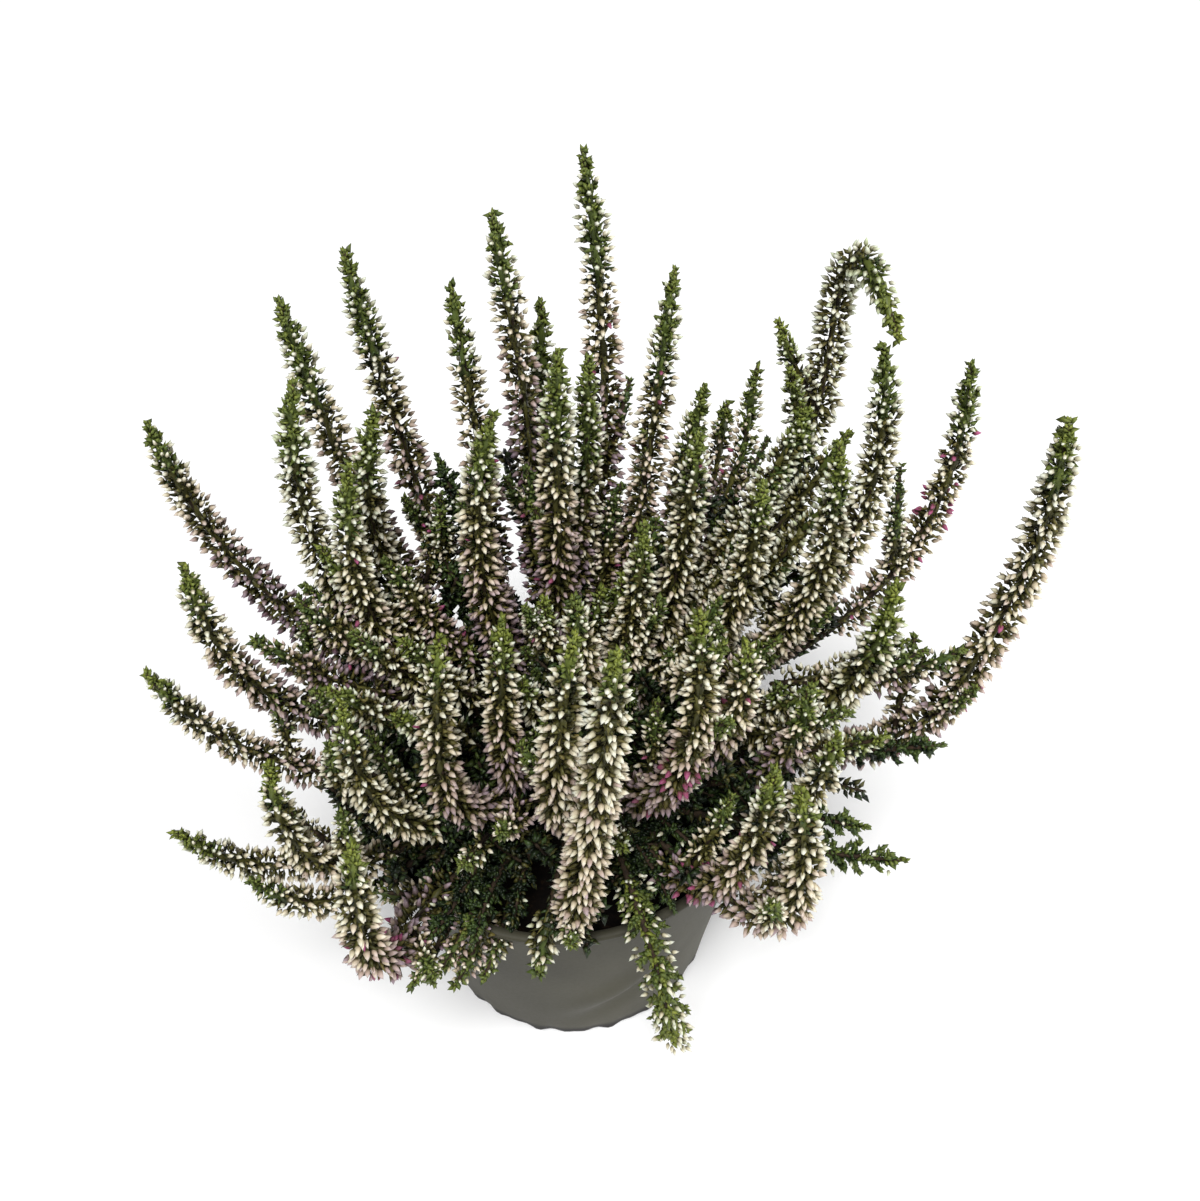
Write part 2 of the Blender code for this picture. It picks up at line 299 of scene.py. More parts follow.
# %% Bud and leaf patterns
BUD_SIDES, LEAF_SIDES = 5, 3
BUD_SLOT, LEAF_SLOT, BARK_SLOT = 0, 1, 2
BUD_PROFILE = [(0, 0), (0.25, 0.32), (0.17, 0.66), (0, 1)]
LEAF_PROFILE = [(0, 0), (0.20, 0.42), (0, 1)]
BUD_LEAN, LEAF_LEAN, LEAF_FLATNESS = 0.10, -0.18, 0.7
bud_shape = lathed(BUD_PROFILE, BUD_SIDES)
lean(bud_shape, BUD_LEAN)
bud = pattern_of(bud_shape, BUD_SIDES, BUD_SLOT)
leaf_shape = lathed(LEAF_PROFILE, LEAF_SIDES)
bmesh.ops.scale(leaf_shape, vec=(1.0, LEAF_FLATNESS, 1.0), verts=leaf_shape.verts)
lean(leaf_shape, LEAF_LEAN)
leaf = pattern_of(leaf_shape, LEAF_SIDES, LEAF_SLOT)
print("faces on a bud:", len(bud["counts"]), "and on a leaf:", len(leaf["counts"]))

# %% [markdown]
# The CAD rods are rings of vertices. Starting from the ring nearest the crown, each next ring
# is the one that the mesh's edges lead to. The middle of each ring gives the shoot's line, and
# the rings' radius tells where it flowers. A smooth curve through the middles hides the steps.


# %% Read a rod's middle line
CROWN = np.array([0.0, 0.0, 90.0])
ROD_SIDES = 6
SAME_PLACE = 1e-5
FINE_STEPS = 16


def rings_of(node):
    """The middles and radii of a CAD rod's rings, in millimetres, from the crown outwards."""
    shape = bmesh.new()
    shape.from_mesh(node.data)
    bmesh.ops.remove_doubles(shape, verts=shape.verts, dist=SAME_PLACE)
    outwards = sorted(shape.verts, key=lambda v: (v.co / MM - Vector(CROWN)).length)
    ring, seen, middles, radii = set(outwards[:ROD_SIDES]), set(), [], []
    while ring:
        places = np.array([vertex.co for vertex in ring]) / MM
        middles.append(places.mean(axis=0))
        radii.append(np.linalg.norm(places - middles[-1], axis=1).mean())
        seen |= ring
        ring = {e.other_vert(v) for v in ring for e in v.link_edges} - seen
    shape.free()
    return np.array(middles), np.array(radii)


def curve_through(points, spacing=1.0):
    """Evenly spaced points on a smooth curve through these."""
    ends = np.vstack([2 * points[0] - points[1], points, 2 * points[-1] - points[-2]])
    t = np.linspace(0, 1, FINE_STEPS, endpoint=False)[:, None]
    legs = []
    for a, b, c, d in zip(ends, ends[1:], ends[2:], ends[3:]):
        bend = (2 * a - 5 * b + 4 * c - d) * t**2 + (3 * b - a - 3 * c + d) * t**3
        legs.append(0.5 * (2 * b + (c - a) * t + bend))
    fine = np.vstack([*legs, points[-1:]])
    along = np.r_[0, np.cumsum(np.linalg.norm(np.diff(fine, axis=0), axis=1))]
    wanted = np.linspace(0, along[-1], max(3, round(along[-1] / spacing) + 1))
    return np.stack([np.interp(wanted, along, fine[:, i]) for i in range(3)], axis=1)


print("rings in the tallest shoot:", len(rings_of(nodes["flower_shoot_tall_back"])[0]))


# %% Lines with axes
def unit(vectors):
    """The vectors at length 1."""
    return vectors / np.maximum(np.linalg.norm(vectors, axis=-1, keepdims=True), 1e-9)


def as_line(points):
    """A curve with a tangent and two cross axes at each point, and its distance from the tip."""
    tangent = unit(np.gradient(points, axis=0))
    across = np.zeros_like(tangent)
    spare = np.array([1.0, 0.0, 0.0]) if abs(tangent[0][0]) < 0.8 else np.array([0, 1.0, 0])
    across[0] = unit(np.cross(tangent[0], spare))
    for i in range(1, len(points)):
        across[i] = unit(across[i - 1] - tangent[i] * (across[i - 1] @ tangent[i]))
    steps = np.linalg.norm(np.diff(points, axis=0), axis=1)
    travelled = np.r_[0, np.cumsum(steps)]
    return dict(
        points=points,
        tangent=tangent,
        across=across,
        third=np.cross(tangent, across),
        from_tip=travelled[-1] - travelled,
    )


def at(line, distance, key):
    """What the line holds under this key at distances from its tip."""
    order = line["from_tip"][::-1]
    rows = line[key][::-1]
    return np.stack([np.interp(distance, order, rows[:, i]) for i in range(3)], axis=-1)


print("lines ready")

# %% [markdown]
# A piece is gathered from batches of copies. Each copy has a place, a direction, a length, a
# width and a tone. All copies of one pattern are worked out together, which is fast.


# %% Gather copies in one mesh
def batch(pattern, places, directions, lengths, widths, tones, band):
    """Copies of a pattern, each turned by chance about its own direction."""
    chance = rng.normal(size=directions.shape)
    z_axis = unit(directions)
    x_axis = unit(np.cross(chance, z_axis))
    turns = np.stack([x_axis, np.cross(z_axis, x_axis), z_axis], axis=-1)
    sizes = np.stack([widths, widths, lengths], axis=-1)
    local = pattern["points"][None] * sizes[:, None, :]
    points = places[:, None, :] + np.einsum("mij,mnj->mni", turns, local)
    return dict(pattern=pattern, points=points, tones=in_band(band, tones))


def gathered(name, batches):
    """One smooth-shaded object from batches of copies, with its tint map."""
    points, corners, counts, slots, maps, first = [], [], [], [], [], 0
    for part in batches:
        pattern, many = part["pattern"], len(part["points"])
        size = part["points"].shape[1]
        shift = first + size * np.arange(many)[:, None]
        index = pattern["corners"][None] + shift
        tone = part["tones"][:, None] + BAND_WIDTH * pattern["side"][pattern["corners"]][None]
        along = np.broadcast_to(pattern["along"][pattern["corners"]][None], tone.shape)
        points.append(part["points"].reshape(-1, 3))
        corners.append(index.ravel())
        counts.append(np.tile(pattern["counts"], many))
        slots.append(np.full(many * len(pattern["counts"]), pattern["slot"]))
        along = ALONG_EDGE + (1 - 2 * ALONG_EDGE) * along
        maps.append(np.stack([along, tone], axis=-1).reshape(-1, 2))
        first += size * many
    points, corners = np.concatenate(points) * MM, np.concatenate(corners)
    counts = np.concatenate(counts)
    mesh = bpy.data.meshes.new(name)
    mesh.vertices.add(len(points))
    mesh.vertices.foreach_set("co", points.ravel())
    mesh.loops.add(len(corners))
    mesh.loops.foreach_set("vertex_index", corners.astype(np.int32))
    mesh.polygons.add(len(counts))
    mesh.polygons.foreach_set("loop_start", np.r_[0, np.cumsum(counts)[:-1]].astype(np.int32))
    mesh.polygons.foreach_set("material_index", np.concatenate(slots).astype(np.int32))
    mesh.polygons.foreach_set("use_smooth", np.ones(len(counts), bool))
    mesh.update(calc_edges=True)
    layer = mesh.uv_layers.new(name="OFBake")
    layer.uv.foreach_set("vector", np.concatenate(maps).astype(np.float32).ravel())
    for made in (bud_finish, leaf_finish, bark_finish):
        mesh.materials.append(made)
    return linked(name, mesh)


def claim(piece, node=None):
    """Puts a piece on the body root, and hides the CAD node it stands for, if any."""
    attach(piece, "root")
    if node:
        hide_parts(node)
    return piece


print("gathering ready")

# %% [markdown]
# A stem is a ring that is extruded from point to point along its line and closed at both ends
# by a small cone. The rings are turned to stand square to the line. The mass of tiny leaves
# pressed to a stem is a rough stem too, in the colours of the leaves. It comes in short lengths,
# so that its green can change on the way.


# %% Stems
STEM_SIDES = 6
STEM_END = 0.05
SLEEVE_LENGTH, SLEEVE_OVERLAP = 10.0, 1.0
SLEEVE_RINGS, SLEEVE_ROUGHNESS = 6, 0.34


def edge_of(item, ring):
    """Whether a grown item is an edge between two vertices of the ring."""
    return isinstance(item, bmesh.types.BMEdge) and all(v in ring for v in item.verts)


def stem(line, radii, tone, band=BARK_BAND, slot=BARK_SLOT):
    """A batch with one stem, whose radius is given at each point of the line."""
    shape = bmesh.new()
    circle = bmesh.ops.create_circle(shape, cap_ends=False, segments=STEM_SIDES, radius=1.0)
    ring, edges = circle["verts"], shape.edges[:]
    count = len(line["points"])
    wanted = [0, *range(count), count - 1]
    scales = [STEM_END, *radii, STEM_END]
    before = Matrix.Identity(4)
    for step, (index, radius) in enumerate(zip(wanted, scales)):
        if step:
            grown = bmesh.ops.extrude_edge_only(shape, edges=edges)["geom"]
            ring = [item for item in grown if isinstance(item, bmesh.types.BMVert)]
            edges = [item for item in grown if edge_of(item, ring)]
        axes = [line[key][index] * radius for key in ("across", "third", "tangent")]
        now = Matrix(axes).transposed().to_4x4()
        now.translation = line["points"][index]
        bmesh.ops.transform(shape, matrix=now @ before.inverted(), verts=ring)
        before = now
    bmesh.ops.recalc_face_normals(shape, faces=shape.faces)
    shape.verts.ensure_lookup_table()
    points = np.array([vertex.co for vertex in shape.verts])
    corners, counts = faces_of(shape)
    shape.free()
    pattern = dict(
        points=points,
        along=np.repeat(np.arange(count + 2), STEM_SIDES) / (count + 1),
        side=np.arange(len(points)) % 2,
        corners=corners,
        counts=counts,
        slot=slot,
    )
    return dict(pattern=pattern, points=points[None], tones=in_band(band, np.array([tone])))


def sleeve(line, start, end, radius, tone):
    """The mass of tiny leaves on a stem, whose radius and tone follow from the distance."""
    parts = []
    for near in np.arange(start, end, SLEEVE_LENGTH):
        far = min(near + SLEEVE_LENGTH + SLEEVE_OVERLAP, line["from_tip"][0])
        s = np.linspace(far, near, SLEEVE_RINGS)
        core = as_line(at(line, s, "points"))
        # The leaves' painted shade darkens each length of sleeve towards its lower end.
        made = stem(core, radius(s), float(tone(near)), LEAF_BAND, LEAF_SLOT)
        made["points"] = made["points"] + rng.normal(0, SLEEVE_ROUGHNESS, made["points"].shape)
        parts.append(made)
    return parts


print("stems ready")

# %% [markdown]
# Buds and their bracts sit round the stem by the golden angle, as leaves do in nature, with a
# little chance. How far apart they are depends on how thick the spike is there.


# %% Places round a stem
GOLDEN = math.radians(137.508)
SPACING_CHANCE = 0.3


def spaced(length, per_mm, step=0.25):
    """Distances from the tip, closer together where per_mm is larger."""
    grid = np.arange(0, length, step)
    counted = np.cumsum(per_mm(grid)) * step
    number = int(counted[-1])
    chance = rng.uniform(-SPACING_CHANCE, SPACING_CHANCE, number)
    return np.interp(np.arange(number) + 0.5 + chance, counted, grid)


def outward(line, distance, turn):
    """The directions square to the stem at these distances and turns."""
    across, third = at(line, distance, "across"), at(line, distance, "third")
    return across * np.cos(turn)[:, None] + third * np.sin(turn)[:, None]


def set_out(pattern, line, distance, turn, reach, angle, length, width, tone, band, drop=0.0):
    """Copies that stand out from the stem at an angle in degrees from its tip's direction."""
    out = outward(line, distance, turn)
    axis = at(line, distance, "tangent")
    lift = np.radians(angle)[:, None]
    direction = axis * np.cos(lift) + out * np.sin(lift)
    direction[:, 2] -= drop
    places = at(line, distance, "points") + out * reach[:, None]
    return batch(pattern, places, direction, length, width, tone, band)


print("golden angle", round(math.degrees(GOLDEN), 1))

# %% [markdown]
# The growing tip is a cone of scale leaves in four ranks. Just below it the first side twigs
# stand out like small ears, each a tuft of leaves. Each table pairs distances from the shoot's
# tip, in millimetres, with the value there.


# %% Growing tip
TIP_LENGTH, SPRIG_TIP = 6.0, 3.5
TIP_SPACING = 0.6
TIP_LEAF_LENGTH = ([0, 3, TIP_LENGTH], [1.8, 2.0, 2.2])
TIP_LEAF_ANGLE = ([0, 2, TIP_LENGTH], [0, 7, 24])
TIP_LEAF_REACH = ([0, 3, TIP_LENGTH], [0.0, 0.35, 0.6])
TIP_LEAF_WIDTH = 2.2


def growing_tip(line, fat, tone, length=TIP_LENGTH):
    """The closed cone of scale leaves at the end of a shoot."""
    s = np.repeat(np.arange(0.2, length, TIP_SPACING), 2)
    number = len(s)
    turn = np.arange(number) * math.pi + (np.arange(number) // 2) * math.pi / 2
    long = np.interp(s, *TIP_LEAF_LENGTH) * fat
    angle = np.interp(s, *TIP_LEAF_ANGLE)
    reach = np.interp(s, *TIP_LEAF_REACH) * fat
    shade = tone + rng.uniform(-0.06, 0.1, number)
    return set_out(leaf, line, s, turn, reach, angle, long, TIP_LEAF_WIDTH * long, shade, LEAF_BAND)


print("tip length", TIP_LENGTH, "mm")


# %% Side tufts
FIRST_TUFT, TUFT_SPACING, TUFT_TURN = 6.0, 4.2, 1.9
TUFT_RISE = ([6, 20], [0.85, 0.5])
TUFT_REACH = ([6, 14, 40], [0.72, 1.0, 1.15])
TUFT_SPLAY = 0.6
TUFT_LEAF_LENGTH, TUFT_LEAF_WIDTH = 1.9, 2.3
TUFT_DARKENING = 0.2


def side_tufts(line, fat, green, tone, reach_out, apart=TUFT_SPACING, many=8):
    """Pairs of leaf tufts on short side twigs, as far down as the spike is green."""
    parts = []
    for number, distance in enumerate(np.repeat(np.arange(FIRST_TUFT, green - 2, apart), 2)):
        turn = number * math.pi + (number // 2) * TUFT_TURN + rng.uniform(-0.25, 0.25)
        foot = np.array([distance])
        out = outward(line, foot, np.array([turn]))[0]
        way = unit(at(line, foot, "tangent")[0] * np.interp(distance, *TUFT_RISE) + out)
        reach = reach_out * np.interp(distance, *TUFT_REACH) * np.linspace(0.1, 0.85, many)
        places = at(line, foot, "points")[0] + way * reach[:, None]
        splay = unit(rng.normal(size=(many, 3))) * TUFT_SPLAY + way
        long = np.full(many, TUFT_LEAF_LENGTH * fat)
        older = np.interp(distance, [8, 40], [0, TUFT_DARKENING])
        shade = tone + rng.uniform(-0.05, 0.12, many) + older
        parts.append(batch(leaf, places, splay, long, TUFT_LEAF_WIDTH * long, shade, LEAF_BAND))
    return parts


def leaves_on(line, start, end, per_mm, tone, size=2.3):
    """Scale leaves along a stretch of stem."""
    s = start + spaced(end - start, lambda d: np.full_like(d, per_mm))
    number = len(s)
    turn = (np.arange(number) % 4) * math.pi / 2 + rng.uniform(-0.4, 0.4, number)
    long = size * rng.uniform(0.8, 1.25, number)
    shade = tone + rng.uniform(-0.15, 0.15, number)
    angle = rng.uniform(30, 75, number)
    reach = np.full(number, 0.5)
    return set_out(leaf, line, s, turn, reach, angle, long, 1.9 * long, shade, LEAF_BAND)


print("first tufts", FIRST_TUFT, "mm below the tip")

# %% [markdown]
# The flowering part follows. Buds are short and upright near the tip, longer and square to the
# stem further down, and fewer at the tip and at the foot of the spike. On shoots at the front
# they stand out more. A few are magenta, and so are those near the pink spots.

# %% Measures of a spike
BUDS_PER_SQUARE_MM = 0.112
FOOT_REACH = ([0, 5, 9, 20, 40, 70], [0.5, 1.4, 2.2, 2.9, 3.3, 3.9])
BUD_LENGTH = ([4, 12, 30, 70], [2.0, 2.5, 2.65, 2.8])
BUD_ANGLE = ([5, 20, 50], [36, 64, 84])
BUD_ANGLE_CHANCE = 13
FRONT_TILT = ([-40, 20], [24, 0])
BUD_DROP, BRACT_DROP = 0.14, 0.1
BRACT_WIDTH, LOOSE_LEAF_WIDTH = 0.75, 2.1
PLAIN_TINTS, MAGENTA_TINTS = (0, 0.8), (0.86, 1.0)
OLIVE = 0.88
PINK_SPOTS = [
    (-48, 6, 155), (-46, 4, 146), (38, -38, 163), (31, -42, 150), (36, -56, 108),
    (-42, -71, 106), (48, 50, 185), (103, 25, 170),
]


def foot_reach(fat, s):
    """How far from the middle of the stem the buds' feet sit."""
    return fat * np.interp(s, *FOOT_REACH)


def bud_length(fat, s):
    """How long the buds are, before chance."""
    return fat * np.interp(s, *BUD_LENGTH)


def bud_density(s, flowering, look, tip):
    """How many buds each millimetre of the spike holds."""
    fat, crowd, green = look[:3]
    thick = foot_reach(fat, s) + 0.55 * bud_length(fat, s)
    full = crowd * math.tau * thick * BUDS_PER_SQUARE_MM
    fade = np.interp(s, [0.4 * tip, 0.8 * tip, 1.5 * tip], [0, 0.6, 1.0])
    fade = fade * np.interp(s, [8, 16], [0.55 if green > 14 else 1.0, 1.0])
    return full * fade * np.interp(flowering - s, [0, 12], [0.25, 1.0])


print("pink spots:", len(PINK_SPOTS))


# %% Buds and loose leaves
def bud_tints(line, s, flowering, look):
    """Tints that change down the spike, or magenta."""
    _, _, green, top_tint, low_tint, magenta = look
    number = len(s)
    middle_tint = 0.5 * (top_tint + low_tint)
    tint = np.interp(s / flowering, [0.1, 0.35, 0.7], [top_tint, middle_tint, low_tint])
    tint = tint + rng.normal(0, 0.06, number)
    places = at(line, s, "points")
    gaps = np.linalg.norm(places[:, None] - np.array(PINK_SPOTS)[None], axis=-1).min(axis=1)
    pink = (rng.random(number) < magenta * (s > green)) | (gaps < rng.uniform(2, 6.5, number))
    return np.where(pink, rng.uniform(*MAGENTA_TINTS, number), np.clip(tint, *PLAIN_TINTS))


def buds_with_bracts(line, flowering, look, tip):
    """The buds round a spike, and a bract from the stem to each."""
    fat, _, green = look[:3]
    s = spaced(flowering, lambda d: bud_density(d, flowering, look, tip))
    number = len(s)
    turn = np.arange(number) * GOLDEN + rng.uniform(-0.6, 0.6, number)
    angle = np.interp(s, *BUD_ANGLE) + rng.normal(0, BUD_ANGLE_CHANCE, number)
    tilt = np.interp(line["points"][-1][1], *FRONT_TILT)
    angle = angle + tilt * np.interp(s, [5, 25], [0, 1])
    tint = bud_tints(line, s, flowering, look)
    size = bud_length(fat, s) * rng.uniform(0.86, 1.12, number)
    reach = foot_reach(fat, s) * rng.uniform(0.82, 1.12, number)
    width = size * rng.uniform(1.0, 1.2, number)
    buds = set_out(bud, line, s, turn, reach, angle, size, width, tint, BUD_BAND, BUD_DROP)

    tone = np.interp(s, [6, green, green + 12], [0.2, 0.4, OLIVE])
    tone = np.where(s > green + 6, np.maximum(tone, 0.8), tone) + rng.uniform(-0.04, 0.1, number)
    long = reach + 0.5 * size
    wide = BRACT_WIDTH * long
    near = 0.2 * reach
    bracts = set_out(leaf, line, s, turn, near, angle - 8, long, wide, tone, LEAF_BAND, BRACT_DROP)
    return [buds, bracts]


def loose_leaves(line, flowering, look, fresh):
    """Leaves between the buds, closer to the stem where the spike is green."""
    fat, crowd, green = look[:3]
    per_mm = ([6, green, green + 25], [2.7, 2.9, 1.7])
    s = spaced(flowering, lambda d: crowd * np.interp(d, *per_mm))
    number = len(s)
    turn = rng.uniform(0, math.tau, number)
    angle = rng.uniform(35, 90, number)
    long = rng.uniform(1.7, 2.7, number) * fat
    tone = np.interp(s, [6, green + 8], [fresh + 0.08, 0.45])
    tone = np.where(s > green + 3, OLIVE, tone) + rng.uniform(-0.06, 0.1, number)
    reach = foot_reach(fat, s) * rng.uniform(0.2, 0.95, number)
    reach = reach * np.where(s < green - 4, 0.5, 1.0)
    wide = LOOSE_LEAF_WIDTH * long
    return set_out(leaf, line, s, turn, reach, angle, long, wide, tone, LEAF_BAND)


print("buds per square millimetre:", BUDS_PER_SQUARE_MM)

# %% [markdown]
# A whole spike is its tip, tufts, buds, leaves, sleeve and stem. Its green is fresher towards
# the front of the plant, and duller on a short sprig.


# %% Dress a shoot
TIP_SHARE = 0.07
FRESHNESS = ([-40, 25], [0.24, 0.33])
SPRIG_DULLING, DULLEST = 0.12, 0.22
SPIKE_TUFT_REACH = 3.4
# Leaves on the bare lower stem are old green darkened nearly to black as painted shade.
CORE_OLIVE, OLD_GREEN_IN_PAINTED_SHADE = 0.87, 0.72
STEM_TONE = 0.35


def dress(line, flowering, look, tip=None):
    """All batches for one flowering shoot. A short shoot's green tip is short too."""
    fat, _, green, top_tint = look[:4]
    points, length = line["points"], line["from_tip"][0]
    tip = tip or float(np.clip(TIP_SHARE * flowering, SPRIG_TIP, TIP_LENGTH))
    fresh = float(np.interp(points[-1][1], *FRESHNESS))
    if tip == SPRIG_TIP:
        fresh += SPRIG_DULLING
    fresh = min(fresh, DULLEST + 2 * top_tint)
    parts = [growing_tip(line, fat, fresh, tip)]
    parts += side_tufts(line, fat, min(green, flowering), fresh + 0.05, SPIKE_TUFT_REACH * fat)
    parts += buds_with_bracts(line, flowering, look, tip)
    parts.append(loose_leaves(line, flowering, look, fresh))

    def core_radius(d):
        return fat * np.interp(d, [3, 9, green + 5, green + 25], [0.5, 1.1, 1.1, 0.85])

    def core_tone(d):
        return CORE_OLIVE if d > green else fresh + 0.15

    parts += sleeve(line, 3.0, flowering - 3, core_radius, core_tone)
    if length - flowering > 4:
        parts.append(leaves_on(line, flowering - 3, length - 3, 2.0, OLD_GREEN_IN_PAINTED_SHADE))
    fourth = points[::4]
    thin = as_line(np.vstack([fourth, points[-1:]]) if (len(points) - 1) % 4 else fourth)
    radii = np.interp(thin["from_tip"], [0, flowering, flowering + 20], [0.5, 0.85, 1.15])
    parts.append(stem(thin, radii, STEM_TONE))
    return parts


print("spikes ready")

# %% [markdown]
# Each flowering shoot has its own look: how fat it is, how crowded, how far down it is green in
# millimetres, its buds' tints near the tip and low down, and how many buds are magenta. Where
# a side has several shoots, they are numbered in this order.

# %% Looks
LOOKS = {
    "tall_back": [(0.91, 0.85, 26, 0.12, 0.72, 0.02)],
    "back": [
        (0.94, 0.85, 20, 0.15, 0.76, 0.01), (0.97, 0.95, 26, 0.08, 0.6, 0.02),
        (0.97, 0.95, 24, 0.1, 0.6, 0.02), (0.91, 0.9, 18, 0.12, 0.62, 0.01),
        (0.91, 0.9, 30, 0.05, 0.42, 0.0), (0.91, 0.9, 24, 0.15, 0.55, 0.02),
        (0.87, 0.85, 24, 0.2, 0.62, 0.03), (0.91, 0.9, 20, 0.1, 0.62, 0.06),
        (0.91, 0.9, 30, 0.05, 0.3, 0.0), (0.87, 0.8, 10, 0.3, 0.74, 0.1),
        (0.91, 0.8, 18, 0.3, 0.6, 0.02), (0.91, 0.8, 18, 0.3, 0.6, 0.02),
    ],
    "middle": [
        (0.97, 0.95, 22, 0.1, 0.7, 0.02), (0.97, 1.0, 22, 0.05, 0.44, 0.0),
        (1.0, 1.0, 18, 0.12, 0.66, 0.01), (0.97, 1.0, 12, 0.15, 0.46, 0.0),
        (0.97, 1.0, 10, 0.15, 0.4, 0.0), (0.97, 1.0, 22, 0.06, 0.36, 0.0),
        (0.97, 1.0, 16, 0.08, 0.46, 0.03), (0.97, 1.0, 12, 0.15, 0.44, 0.0),
    ],
    "right": [
        (0.97, 1.0, 16, 0.1, 0.4, 0.0), (0.94, 0.9, 20, 0.12, 0.48, 0.03),
        (1.0, 1.0, 14, 0.18, 0.52, 0.01), (1.1, 0.9, 22, 0.1, 0.3, 0.0),
        (0.97, 1.0, 14, 0.12, 0.38, 0.0), (0.97, 1.0, 14, 0.12, 0.66, 0.04),
        (0.97, 1.0, 14, 0.12, 0.4, 0.0),
    ],
    "right_hook": [(0.95, 1.0, 16, 0.0, 0.18, 0.0)],
    "left": [
        (1.0, 1.0, 12, 0.24, 0.82, 0.0), (1.0, 1.0, 12, 0.22, 0.6, 0.0),
        (0.97, 1.0, 10, 0.15, 0.5, 0.0), (0.97, 1.0, 12, 0.12, 0.42, 0.0),
        (0.97, 1.0, 10, 0.22, 0.38, 0.0), (0.97, 1.0, 8, 0.25, 0.36, 0.0),
    ],
    "front": [
        (1.0, 1.0, 8, 0.12, 0.4, 0.0), (1.04, 1.0, 10, 0.12, 0.64, 0.0),
        (1.04, 1.0, 7, 0.22, 0.54, 0.01), (1.07, 1.0, 7, 0.2, 0.5, 0.0),
        (1.05, 1.0, 8, 0.18, 0.42, 0.0), (1.04, 1.0, 7, 0.2, 0.6, 0.02),
        (1.04, 1.0, 7, 0.22, 0.52, 0.02), (0.97, 1.0, 10, 0.12, 0.32, 0.0),
        (0.97, 1.0, 9, 0.12, 0.32, 0.0),
    ],
    "low_left": [(1.1, 1.0, 8, 0.2, 0.62, 0.01)],
    "low_right": [
        (1.0, 0.8, 8, 0.1, 0.42, 0.0), (1.1, 1.0, 7, 0.22, 0.5, 0.0),
        (1.04, 1.0, 9, 0.12, 0.62, 0.02),
    ],
    "rim": [(1.2, 1.0, 4, 0.12, 0.2, 0.0)],
}
print("looks for", sum(map(len, LOOKS.values())), "shoots")

# %% [markdown]
# The branches' upper ends are where the shoots fork off, so each shoot's line is led back to the
# nearest one before it is dressed.

# %% Lines of shoots and twigs
BRANCHES = 6
THICK_ROD = 1.5
branch_lines = [rings_of(nodes[f"woody_branch_{i + 1}"]) for i in range(BRANCHES)]
ends = [(middles[0], middles[-1]) for middles, _ in branch_lines]
forks = np.array([max(pair, key=lambda end: end[2]) for pair in ends])


def shoot_line(name):
    """A CAD shoot's line, led back to its fork, and the length over which it is thick."""
    middles, radii = rings_of(nodes[name])
    nearest = forks[np.linalg.norm(forks - middles[0], axis=1).argmin()]
    line = as_line(curve_through(np.vstack([nearest - [0, 0, 1.0], middles])))
    steps = np.r_[0, np.cumsum(np.linalg.norm(np.diff(middles, axis=0), axis=1))]
    widening = slice(0, radii.argmax() + 1)
    return line, steps[-1] - np.interp(THICK_ROD, radii[widening], steps[widening])


def steps_along(length):
    """A column of values from 0 to 1, about one for each 3 mm."""
    return np.linspace(0, 1, max(4, int(length / 3)))[:, None]


def twig_line(start, way, length, rise=0.35):
    """The line of a side twig that leaves in a direction and turns upwards as it grows."""
    t = steps_along(length)
    return as_line(start + unit(way) * length * t + np.array([0, 0, rise * length]) * t**2)


print("forks:", len(forks))


# %% Grow the flowering shoots
LONG_SPIKE, LONGEST_SPIKE = 60, 80
SIDE_SPIKE_FAT, SIDE_SPIKE_GREEN = 0.85, 9


def side_spikes(line, flowering, look, number):
    """Short flowering twigs that fork off low on a spike, with green tips of their own."""
    fat, crowd, _, top_tint, low_tint, magenta = look
    middle_tint = 0.5 * (top_tint + low_tint)
    small = (SIDE_SPIKE_FAT * fat, crowd, SIDE_SPIKE_GREEN, top_tint, middle_tint, magenta)
    parts = []
    for distance in flowering * rng.uniform(0.72, 1.0, number):
        foot = np.array([distance])
        out = outward(line, foot, rng.uniform(0, math.tau, 1))[0]
        place = at(line, foot, "points")[0]
        inward = unit(np.array([-place[0], -place[1], 0.0]))
        way = at(line, foot, "tangent")[0] + 0.7 * out + 0.4 * inward + [0, 0, 0.4]
        twig = twig_line(place, way, rng.uniform(18, 28))
        parts += dress(twig, twig["from_tip"][0] - 2, small, SPRIG_TIP)
    return parts


total = 0
for side, rows in LOOKS.items():
    for number, look in enumerate(rows, 1):
        name = f"{side}_{number}" if len(rows) > 1 else side
        node = "flower_shoot_" + name
        line, flowering = shoot_line(node)
        forking = int(flowering > LONG_SPIKE) + int(flowering > LONGEST_SPIKE)
        parts = dress(line, flowering, look) + side_spikes(line, flowering, look, forking)
        piece = claim(gathered("spike_" + name, parts), node)
        total += len(piece.data.polygons)
print("faces on the spikes:", total)

# %% [markdown]
# Three shoots bear mostly leaves. They are green to their tips, with a few buds. The table
# gives each one's tone and its share of buds.

# %% Grow the leafy shoots
TUFTS_OUT, TUFTS_APART, TUFT_LEAVES = 5.6, 3.0, 15


